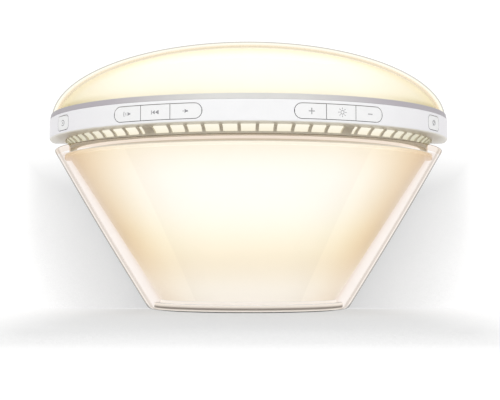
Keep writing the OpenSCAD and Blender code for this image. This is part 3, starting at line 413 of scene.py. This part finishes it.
def ringPlastic():
    f = moulded("ring_white", (249, 249, 250), 0.36, 1600, 0.02, 0.01, coat=0.25).hold(Coat_Roughness=0.18)
    # painted shade: greyer to the ends, grey on the window walls round the keys, and darker underneath
    f.tint(f.smooth(f.turn(), *ringShade["sideTurn"]), ringShade["side"])
    low, lowFull, highFull, high = gapShade["z"]
    z = f.height()
    windows = f.smooth(z, low, lowFull) * f.smooth(z, high, highFull)
    f.tint(f.smooth(f.outward(), *gapShade["outward"]) * windows, gapShade["grey"])
    return f.tint(f.smooth(f.axis(2, f.normal()), *ringShade["underTilt"]), ringShade["under"])


# The band is painted darker towards its ends, as painted shade, with three thin dark lines of painted shade
# there
gasket = {
    "sideTurn": (0.06, 0.50), "side": (182, 176, 182),
    "lineZ": (128.7, 129.6, 130.5), "lineHalf": 0.22,     # mm
    "lineTurn": (0.5, 0.8, 0.0, 0.6), "line": (96, 92, 92),
}


def siliconeBand():
    f = moulded("grey_silicone_band", (222, 221, 218), 0.55, 1200, 0.04, 0.02, sheen=0.15)
    # painted shade: darker towards the ends, then the thin dark lines
    f.tint(f.smooth(f.turn(), *gasket["sideTurn"]), gasket["side"])
    z = f.height()
    lines = 0.0
    for centre in gasket["lineZ"]:
        lines = f.smooth(f.size(z - centre), gasket["lineHalf"], 0.0) + lines
    return f.tint(lines * f.smooth(f.turn(), *gasket["lineTurn"]), gasket["line"])


# The rear cover's inner face glows as painted light, standing for the light that spills past the lit pieces,
# with a painted halo by the frosted dome; under the glow the face is dark
paintedGlowBody = (60, 58, 54)
coverPaintedGlow = {
    "spill": [(0.0, (224, 206, 186)), (0.3, (233, 220, 208)), (0.6, (244, 237, 232)),
              (1.0, (247, 242, 239))],
    "spillReach": (-4.0, 9.0),           # mm out from the cone's outline
    "halo": [(0.0, (253, 249, 240)), (1.0, (254, 252, 246))],
    "haloReach": (0.985, 1.10),          # shares of the frosted dome's outline
    "haloZ": (112, 122), "innerTilt": (-0.6, -0.9),
}


def coverPlastic():
    f = moulded("cover_pale_grey", (226, 226, 227), 0.55, 1100, 0.12).hold(Emission_Strength=1.0)
    x = f.size(f.axis(0)) / mm
    z = f.height()
    spill = f.ramp(f.smooth(x - coneR(z), *coverPaintedGlow["spillReach"]), coverPaintedGlow["spill"])
    outline = (x / dome["frostR"]) ** 2 + ((z - dome["widestZ"]) / dome["frostH"]) ** 2
    halo = f.ramp(f.smooth(outline ** 0.5, *coverPaintedGlow["haloReach"]), coverPaintedGlow["halo"])
    glow = f.mix(f.smooth(z, *coverPaintedGlow["haloZ"]), spill, halo)
    # painted light: the inner face glows, over a dark body
    inner = f.smooth(f.axis(1, f.normal()), *coverPaintedGlow["innerTilt"])
    f.tint(inner, paintedGlowBody)
    return f.feed(Emission_Color=f.mix(inner, unlit, glow))


# Painted light on the base plate's rim, seen through the shell's foot: a glow up its height, darker in a
# band low down
basePaintedGlow = {
    "low": 0.6, "high": 7.0,             # mm, the heights that the stops below run between
    "rise": [(0.0, (222, 216, 208)), (0.10, (228, 221, 213)), (0.16, (204, 195, 186)),
             (0.21, (120, 111, 102)), (0.34, (124, 115, 106)), (0.44, (208, 199, 188)),
             (0.62, (238, 229, 219)), (1.0, (240, 232, 223))],
    "rim": (0.6, 0.9),
}


def basePlastic():                       # the rim inside the shell's foot glows as painted light, darker in a band low on it
    f = moulded("base_pale_grey", (222, 221, 220), 0.5, 1100, 0.08).hold(Emission_Strength=1.0)
    rim = f.smooth(f.outward(), *basePaintedGlow["rim"])
    f.tint(rim, paintedGlowBody)
    glow = f.ramp(f.rise(basePaintedGlow["low"], basePaintedGlow["high"]), basePaintedGlow["rise"], "LINEAR")
    return f.feed(Emission_Color=f.mix(rim, unlit, glow))


brushed = {
    "level": (1, 1, 30), "upright": (30, 1, 1),       # a noise drawn out into lines that run so
    "lines": (120, 4, 0.6), "stain": (90, 4), "stainSpan": (0.4, 0.7), "dull": 0.82,
    "rougher": 0.15, "bump": (0.08, 0.0002),
}


def metal(name, colour, roughness, run):
    f = Finish(name, Metallic=1.0)
    lines = f.noise(*brushed["lines"], brushed[run])
    stain = f.smooth(f.noise(*brushed["stain"]), *brushed["stainSpan"])
    base = srgb(*colour)
    return f.feed(Base_Color=f.mix(stain, base, darker(base, brushed["dull"])),
                  Roughness=f.smooth(lines, *evenSpan, roughness, roughness + brushed["rougher"]),
                  Normal=f.bump(lines, *brushed["bump"]))


board = {
    "tracks": {"Scale": 190, "Distortion": 3.0, "Detail Scale": 0.6}, "trackSpan": (0.78, 0.84),
    "trackShare": 0.35, "pads": 260, "padSpan": (0.20, 0.16),
    "rough": (0.32, 0.22), "bump": (0.2, 0.0001),
}


def boardMask(name, mask, copper):       # solder mask with tracks and pads that show through it
    f = Finish(name, IOR=1.5, Coat_Weight=0.5, Coat_Roughness=0.12)
    waves = f.node("TexWave", {"bands_direction": "X"}, {"Vector": f.place(), **board["tracks"]}, out="Fac")
    cells = f.node("TexVoronoi", {"feature": "F1"}, {"Vector": f.place(), "Scale": board["pads"]})
    tracks = f.smooth(waves, *board["trackSpan"])
    bare = f.most(tracks * board["trackShare"], f.smooth(cells, *board["padSpan"]))
    return f.feed(Base_Color=f.mix(bare, srgb(*mask), srgb(*copper)),
                  Roughness=f.smooth(bare, 0.0, 1.0, *board["rough"]), Normal=f.bump(bare, *board["bump"]))


emitter = {
    "dots": 2200, "body": ((255, 214, 120), (250, 196, 88)), "glow": ((255, 238, 200), (255, 226, 170)),
}


def emitterResin():                      # lit resin, mottled by the phosphor in it
    f = Finish("emitter_resin_lit", Roughness=0.4, IOR=1.5, Emission_Strength=1.0)
    dots = f.smooth(f.noise(emitter["dots"], 2), *evenSpan)
    body, glow = ([srgb(*colour) for colour in emitter[part]] for part in ("body", "glow"))
    return f.feed(Base_Color=f.mix(dots, *body), Emission_Color=f.mix(dots, *glow))


# A moulded finish takes its colour, roughness, grain, depth of the grain and spread of the two colours
finishes = {
    "clear_shell": clearPlastic("clear_shell_acrylic", shellPaintedEdge),
    "clear_dome": clearPlastic("clear_dome_acrylic", domePaintedEdge),
    "frosted_cone": frosted("frosted_cone_lit", coneGlow),
    "frosted_dome": frosted("frosted_dome_lit", domeGlow),
    "grille_plastic": moulded("grille_olive", (230, 225, 209), 0.5, 1500, 0.04),
    "ring_plastic": ringPlastic(),
    "key_plastic": keyPlastic(),
    "grey_silicone": siliconeBand(),
    "inner_white_plastic": moulded("chassis_white", (232, 232, 230), 0.5, 900, 0.05),
    "cover_plastic": coverPlastic(),
    "weight_steel": moulded("weight_pressed_steel", (84, 84, 88), 0.5, 500, 0.2, 0.08),
    "foot_rubber": moulded("foot_silicone", (176, 174, 170), 0.7, 800, 0.12, 0.05, sheen=0.2),
    "reflector_film": moulded("reflector_white", (248, 248, 248), 0.6, 700, 0.03, 0.01),
    "white_board": boardMask("light_board_white", (240, 240, 238), (222, 214, 196)),
    "emitter_resin": emitterResin(),
    "sink_aluminium": metal("sink_aluminium", (198, 200, 203), 0.32, "upright"),
    "green_board": boardMask("main_board_green", (16, 84, 44), (150, 130, 60)),
    "chip_epoxy": moulded("chip_epoxy", (30, 30, 31), 0.55, 1300, 0.08, 0.06),
    "capacitor_can": metal("capacitor_sleeve", (88, 120, 160), 0.35, "level"),
    "shield_can": metal("radio_shield", (196, 198, 200), 0.3, "level"),
    "header_nylon": moulded("header_nylon", (232, 226, 206), 0.45, 900, 0.03),
    "black_plastic": moulded("black_moulding", (34, 34, 35), 0.45, 1100, 0.06, 0.05),
    "pin_metal": metal("pin_nickel", (214, 214, 212), 0.16, "level"),
    "magnet_steel": metal("magnet_zinc", (120, 122, 126), 0.4, "level"),
    "paper_cone": moulded("paper_pulp_cone", (66, 64, 62), 0.85, 420, 0.3, 0.1),
    "black_rubber": moulded("surround_rubber", (28, 28, 28), 0.6, 600, 0.05, 0.05, sheen=0.2),
    "black_foam": moulded("gasket_foam", (38, 38, 38), 0.9, 350, 0.5, 0.15),
    "amber_film": moulded("flex_amber", (206, 134, 44), 0.25, 500, 0.03, 0.06, coat=0.6),
    "red_insulation": moulded("lead_red", (170, 34, 28), 0.4, 500, 0.03, 0.04),
    "black_insulation": moulded("lead_black", (36, 36, 36), 0.4, 500, 0.03, 0.04),
    "screw_steel": metal("screw_zinc", (190, 192, 196), 0.28, "level"),
}
special = {"grille_strip": frosted("grille_strip_lit", stripGlow), "base_plate": basePlastic()}
for name, node in nodes.items():
    for place in node.material_slots:
        place.material = special.get(name, finishes[place.material.name.split(".")[0]]).material
print("finishes made:", len(finishes) + len(special))


def shown(name, shape, finish, body):           # a drawn shape becomes a piece that rides on its body
    bmesh.ops.recalc_face_normals(shape, faces=shape.faces)
    mesh = bpy.data.meshes.new(name)
    shape.to_mesh(mesh)
    shape.free()
    mesh.materials.append(finish.material)
    piece = bpy.data.objects.new(name, mesh)
    bpy.context.scene.collection.objects.link(piece)
    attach(piece, body)
    return piece


# Pieces turned about the axis, as half bodies with flat ends at the back
turning = {
    "steps": 256, "sideSteps": 24, "cornerSteps": 8, "filletSteps": 5,
    "smoothTo": 28,                      # degrees, the sharpest edge that is shaded smooth
    "weld": 1e-7,                        # metres, the points on the axis become one
}


def turned(name, profile, slot, node):
    shape = bmesh.new()
    rows = []
    for i in range(turning["steps"] + 1):
        angle = math.pi * (i / turning["steps"] - 0.5)
        rows.append([shape.verts.new((r * mm * math.sin(angle), axisY - r * mm * math.cos(angle), z * mm))
                     for r, z in profile])
    for before, after in zip(rows, rows[1:]):
        for j in range(len(profile)):
            k = (j + 1) % len(profile)
            corners = [before[j], after[j], after[k], before[k]]
            if profile[j][0] == 0:
                corners.remove(after[j])
            if profile[k][0] == 0:
                corners.remove(after[k])
            if len(corners) > 2:
                shape.faces.new(corners)
    shape.faces.new(rows[0])
    shape.faces.new(rows[-1][::-1])
    bmesh.ops.remove_doubles(shape, verts=shape.verts, dist=turning["weld"])
    piece = shown(name, shape, finishes[slot], "housing")
    piece.data.shade_smooth()
    piece.data.set_sharp_from_angle(angle=math.radians(turning["smoothTo"]))
    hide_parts(node)


def shares(steps):
    return [i / steps for i in range(steps + 1)]


def arc(centre, radius, start, end):     # degrees, 0 straight out from the axis and 90 straight up
    angles = [math.radians(start + (end - start) * t) for t in shares(turning["filletSteps"])]
    return [(centre[0] + radius * math.cos(a), centre[1] + radius * math.sin(a)) for a in angles]


def bend(a, b, c):                       # a rounded corner from a to c that leans towards b
    return [tuple((1 - t) ** 2 * p + 2 * t * (1 - t) * q + t * t * r for p, q, r in zip(a, b, c))
            for t in shares(turning["cornerSteps"])]


def side(low, high, inset=0.0):
    heights = [low + (high - low) * t for t in shares(turning["sideSteps"])]
    return [(shellR(z) - inset, z) for z in heights]


def clearShell():
    low, high, edge = shell["lowZ"], shell["highZ"], shell["edge"]
    top = high - shell["air"]
    ledge = high - shell["ledgeT"] + shell["air"]
    profile = bend((shell["footR"] - edge, low), (shell["footR"], low), (shellR(low + edge), low + edge))
    profile += side(low + 2 * edge, high - 2 * edge)
    profile += bend((shellR(high - edge), high - edge), (shell["topR"], top), (shell["topR"] - edge, top))
    profile += [(shell["ledgeR"], top), (shell["ledgeR"], ledge)]
    profile += side(low, ledge, shell["wall"])[::-1]
    turned("clear_shell", profile, "clear_shell", "outer_shell")


def frostedCone():
    low, high, wall, fillet = cone["lowZ"], cone["highZ"], cone["wall"], cone["fillet"]
    neckR, neckZ = cone["neckR"], cone["neckZ"]
    flange = high - cone["flangeT"]
    rim = shellR(flange) - shell["wall"] - cone["gap"]
    centre = (coneR(flange) + cone["filletOut"], flange - fillet)
    profile = [(coneR(low) - wall, low), (coneR(low), low)]
    profile += arc(centre, fillet, *cone["filletTurn"])
    profile += [(rim, flange), (rim, high), (neckR, high), (neckR, neckZ)]
    profile += [(neckR - wall, neckZ), (neckR - wall, flange), (coneR(flange) - wall, flange)]
    turned("frosted_cone", profile, "frosted_cone", "lower_diffuser")


def crown(r, h):                         # from the widest level up to the middle of the dome
    angles = [math.radians(90 * t) for t in shares(dome["steps"])]
    points = [(r * math.cos(a), dome["widestZ"] + h * math.sin(a)) for a in angles]
    return points[:-1] + [(0, points[-1][1])]


def domed(name, r, h, wall, node):
    seat = [(r - wall, dome["seatZ"]), (r, dome["seatZ"])]
    turned(name, seat + crown(r, h) + crown(r - wall, h - wall)[::-1], name, node)


clearShell()
frostedCone()
domed("clear_dome", dome["clearR"], dome["clearH"], dome["clearWall"], "dome_cover")
domed("frosted_dome", dome["frostR"], dome["frostH"], dome["frostWall"], "dome_diffuser")
print("shells and lit pieces turned")

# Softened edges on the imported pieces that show, widths in mm
rounding = {"weld": 2e-6, "segments": 3, "angle": 35, "key": 0.28}       # weld in metres, angle in degrees
softened = {"control_ring": 0.3, "vent_grille": 0.12, "rear_cover": 0.4, "base_plate": 0.4, "foot_pad": 0.5,
            "dome_gasket": 0.15, "chassis": 0.3, "dc_jack": 0.25}
softened.update({name: rounding["key"] for name in nodes if name.endswith("_key")})
for name, width in softened.items():
    weld = nodes[name].modifiers.new("weld", "WELD")
    weld.merge_threshold = rounding["weld"]
    bevel = nodes[name].modifiers.new("round", "BEVEL")
    bevel.width = width * mm
    bevel.segments = rounding["segments"]
    bevel.limit_method = "ANGLE"
    bevel.angle_limit = math.radians(rounding["angle"])
    bevel.harden_normals = False
    normals = nodes[name].modifiers.new("normals", "WEIGHTED_NORMAL")
    normals.keep_sharp = False
print("edges softened:", len(softened))

# Signs on the keys, as thin pale grey prints that follow the ring's face
signs = {
    "ringR": 136.0, "keyZ": 121.15, "proud": 0.04, "sunk": 0.25,       # mm
    "fine": 0.36, "line": 0.42, "bold": 0.5,                           # mm, the widths of the lines
    "loopSteps": 20, "dotSteps": 16,
    "stretch": 1.5,                      # for the two signs that sit far round the ring
    "angles": {"volume_down": -15.65, "sound": -23.95, "volume_up": -32.25, "brighter": 15.9, "light": 24.2,
               "dimmer": 32.5, "routine": -60.6, "snooze": 60.6},
}


def bar(x0, y0, x1, y1, width=signs["line"]):
    along = Vector((x1 - x0, y1 - y0)).normalized() * width / 2
    across = Vector((-along.y, along.x))
    a = Vector((x0, y0))
    b = Vector((x1, y1))
    return [tuple(p) for p in (a - across, b - across, b + across, a + across)]


def around(x, y, radius, degrees):
    angle = math.radians(degrees)
    return (x + radius * math.cos(angle), y + radius * math.sin(angle))


def loop(x, y, radius, start=0, end=360, width=signs["line"]):
    inner, outer = radius - width / 2, radius + width / 2
    stops = [start + (end - start) * t for t in shares(signs["loopSteps"])]
    return [[around(x, y, inner, a), around(x, y, outer, a), around(x, y, outer, b), around(x, y, inner, b)]
            for a, b in zip(stops, stops[1:])]


def dot(x, y, radius):
    return [around(x, y, radius, 360 * t) for t in shares(signs["dotSteps"])[:-1]]


def speaker(x):                          # a small loudspeaker that opens to the left
    return [[(x - 1.2, -1.15), (x, -0.45), (x, 0.45), (x - 1.2, 1.15)],
            [(x, -0.45), (x + 0.8, -0.45), (x + 0.8, 0.45), (x, 0.45)]]


def spokes(inner, outer, count):
    angles = [360 * t for t in shares(count)[:-1]]
    return [bar(*around(0, 0, inner, a), *around(0, 0, outer, a), signs["fine"]) for a in angles]


def wide(pieces):
    return [[(x * signs["stretch"], y) for x, y in piece] for piece in pieces]


# Each sign's outlines, in mm from the middle of its key
signShapes = {
    "volume_down": speaker(0.6) + [dot(-1.5, 0, 0.32)],
    "volume_up": speaker(1.6) + loop(1.2, 0, 2.1, 155, 205) + loop(1.2, 0, 3.7, 157, 203),
    "sound": [bar(-2.3, -1.15, -2.3, 1.15), bar(2.3, -1.15, 2.3, 1.15),
              [(-0.1, -1.15), (-0.1, 1.15), (-1.9, 0)], [(2.0, -1.15), (2.0, 1.15), (0.2, 0)]],
    "brighter": [bar(-1.9, 0, 1.9, 0, signs["bold"]), bar(0, -1.9, 0, 1.9, signs["bold"])],
    "light": loop(0, 0, 1.1, width=signs["fine"]) + spokes(1.85, 2.8, 8),
    "dimmer": [bar(-1.7, 0, 1.7, 0, signs["bold"])],
    "routine": wide(loop(0, 0, 1.7, -140, 140) + [dot(0, 0, 0.5)]),
    "snooze": wide(loop(0, 0.2, 1.5) + [bar(-1.2, -1.7, 1.2, 1.2), bar(-0.6, 0.8, 0.6, 0.8)]),
}
signPrint = moulded("sign_print", (150, 150, 153), 0.5, 900, 0.02, 0.02)


def onRing(x, y, depth, turn):           # a sign's point laid on the ring's face, turned to its key
    out = math.sqrt((signs["ringR"] + depth) ** 2 - x * x)
    return ((x * math.cos(turn) + out * math.sin(turn)) * mm,
            axisY + (x * math.sin(turn) - out * math.cos(turn)) * mm,
            (signs["keyZ"] + y) * mm)


def printed(name, outlines):
    shape = bmesh.new()
    turn = math.radians(signs["angles"][name])
    for outline in outlines:
        back, front = ([shape.verts.new(onRing(x, y, depth, turn)) for x, y in outline]
                       for depth in (-signs["sunk"], signs["proud"]))
        shape.faces.new(front)
        shape.faces.new(back[::-1])
        for i in range(len(front)):
            k = (i + 1) % len(front)
            shape.faces.new((back[i], back[k], front[k], front[i]))
    shown(name + "_sign", shape, signPrint, name + "_key")


for name, outlines in signShapes.items():
    printed(name, outlines)
print("signs printed:", len(signShapes))

# Floor, wall and lights, in metres
studio = {
    "halfW": 3.0, "wallH": 2.0,
    "wallGap": 0.022,                    # from the turning axis back to the wall
    "sky": 0.76,                         # strength of the sky on the object, where 1 is white
    "paper": (0.80, 0.79), "clouds": 8,  # the two greys that lie over the paper in wide clouds
    "shade": 0.16,                       # its grey where it is seen, with its glow on top
    "aim": (0, 0, 0.1),
}
# How free the space over the floor and before the wall is: reach of the test, power that deepens the
# shadow, and the places past which the paper is bare
floorShade = {
    "reach": (-0.03, 0.08, 0.34, 0.13),  # from one depth to another, and the values at the two
    "power": (-0.02, -0.31, 3.5, 22.0),  # likewise
    "bareX": (0.06, 0.17), "bareY": (-0.23, -0.36),
    "glow": (0.54, 0.36),                # strength where nothing is free, and what all the free space adds
}
wallShade = {
    "reach": 0.08, "power": 3.0,
    "bareX": (0.125, 0.17), "bareZ": (0.065, 0.12),
    "glow": (0.53, 0.40),
}


def openFloor(f):                        # 1 where all of the space over the floor is free
    y = f.axis(1)
    free = f.node("AmbientOcclusion", sockets={"Distance": f.smooth(y, *floorShade["reach"])}, out="AO")
    aside = f.smooth(f.size(f.axis(0)), *floorShade["bareX"])
    bare = f.most(f.smooth(y, *floorShade["bareY"]), aside)
    return f.most(free ** f.smooth(y, *floorShade["power"]), bare)


def openWall(f):                         # the same on the wall, without the part that the bare floor takes
    free = f.node("AmbientOcclusion", sockets={"Distance": wallShade["reach"]}, out="AO")
    z = f.axis(2)
    low = f.node("Clamp", sockets={0: z / wallShade["reach"]})
    floor = (f.node("Math", {"operation": "ARCCOSINE"}, {0: low}) - low * (1 - low * low) ** 0.5) / math.pi
    aside = f.smooth(f.size(f.axis(0)), *wallShade["bareX"])
    bare = f.most(f.smooth(z, *wallShade["bareZ"]), aside)
    return f.most((free / (1 - floor)) ** wallShade["power"], bare)


def stageFinish(name, glow, free, backClear=False):
    f = Finish(name)
    seen = f.seen()
    greys = [grey(level) for level in studio["paper"]]
    pale = f.mix(f.smooth(f.noise(studio["clouds"], 3), *evenSpan), *greys)
    paper = f.node("BsdfDiffuse", sockets={"Color": f.mix(seen, pale, grey(studio["shade"]))})
    lit = f.node("Emission", sockets={"Strength": seen * (glow[0] + glow[1] * free(f))})
    total = f.node("AddShader", sockets={0: paper, 1: lit})
    if backClear:
        clear = f.node("BsdfTransparent")
        total = f.node("MixShader", sockets={0: f.behind(), 1: total, 2: clear})
    return f.surface(total)


def sheet(name, start, end, finish):     # from one depth and height to another, across the whole width
    corners = [(x, *point) for point in (start, end) for x in (-studio["halfW"], studio["halfW"])]
    mesh = bpy.data.meshes.new(name)
    mesh.from_pydata(corners, [], [(0, 1, 3, 2)])
    mesh.materials.append(finish.material)
    piece = bpy.data.objects.new(name, mesh)
    bpy.context.scene.collection.objects.link(piece)
    return piece


wallY = axisY + studio["wallGap"]
floorPaper = stageFinish("floor_pale", floorShade["glow"], openFloor)
wallPaper = stageFinish("wall_pale", wallShade["glow"], openWall, backClear=True)
sheet("floor", (-studio["halfW"], 0), (studio["halfW"], 0), floorPaper)
wall = sheet("wall", (wallY, 0), (wallY, studio["wallH"]), wallPaper)
wall.visible_diffuse = False
wall.visible_shadow = False
wall.visible_glossy = False

world = bpy.data.worlds.new("studio")
bpy.context.scene.world = world
world.use_nodes = True
sky = Graph(world.node_tree)
backdrop = world.node_tree.nodes["Background"]
backdrop.inputs["Color"].default_value = grey(1.0)
skyStrength = studio["sky"] + sky.seen() * (1 - studio["sky"])
world.node_tree.links.new(skyStrength.socket, backdrop.inputs["Strength"])


def softbox(name, place, size, power):
    light = bpy.data.lights.new(name, "AREA")
    light.energy = power
    light.size = size
    box = bpy.data.objects.new(name, light)
    box.location = place
    box.rotation_mode = "QUATERNION"
    box.rotation_quaternion = (Vector(studio["aim"]) - Vector(place)).to_track_quat("-Z", "Y")
    bpy.context.scene.collection.objects.link(box)
    return box


key = softbox("key_softbox", place=(0, -1.7, 1.0), size=1.1, power=10.0)
key.visible_glossy = False               # the clear dome and shell show no lamp
softbox("back_softbox", place=(0, 1.1, 1.1), size=0.9, power=2.5)

# Camera at the photograph's place: level with the shell, looking a little up
view = {
    "place": (1.042, -776.4, 34.75),     # mm
    "up": 2.746,                         # degrees
    "focal": 1221.2, "width": 500,       # pixels
    "sensor": 36, "clip": 0.01,          # mm and metres
}
camera = bpy.data.cameras.new("camera")
camera.sensor_width = view["sensor"]
camera.lens = view["focal"] / view["width"] * view["sensor"]
camera.clip_start = view["clip"]
eye = bpy.data.objects.new("camera", camera)
eye.location = [v * mm for v in view["place"]]
eye.rotation_euler = (math.radians(90 + view["up"]), 0, 0)
bpy.context.scene.collection.objects.link(eye)
bpy.context.scene.camera = eye
bpy.context.scene.view_settings.view_transform = "Standard"
print("studio set")
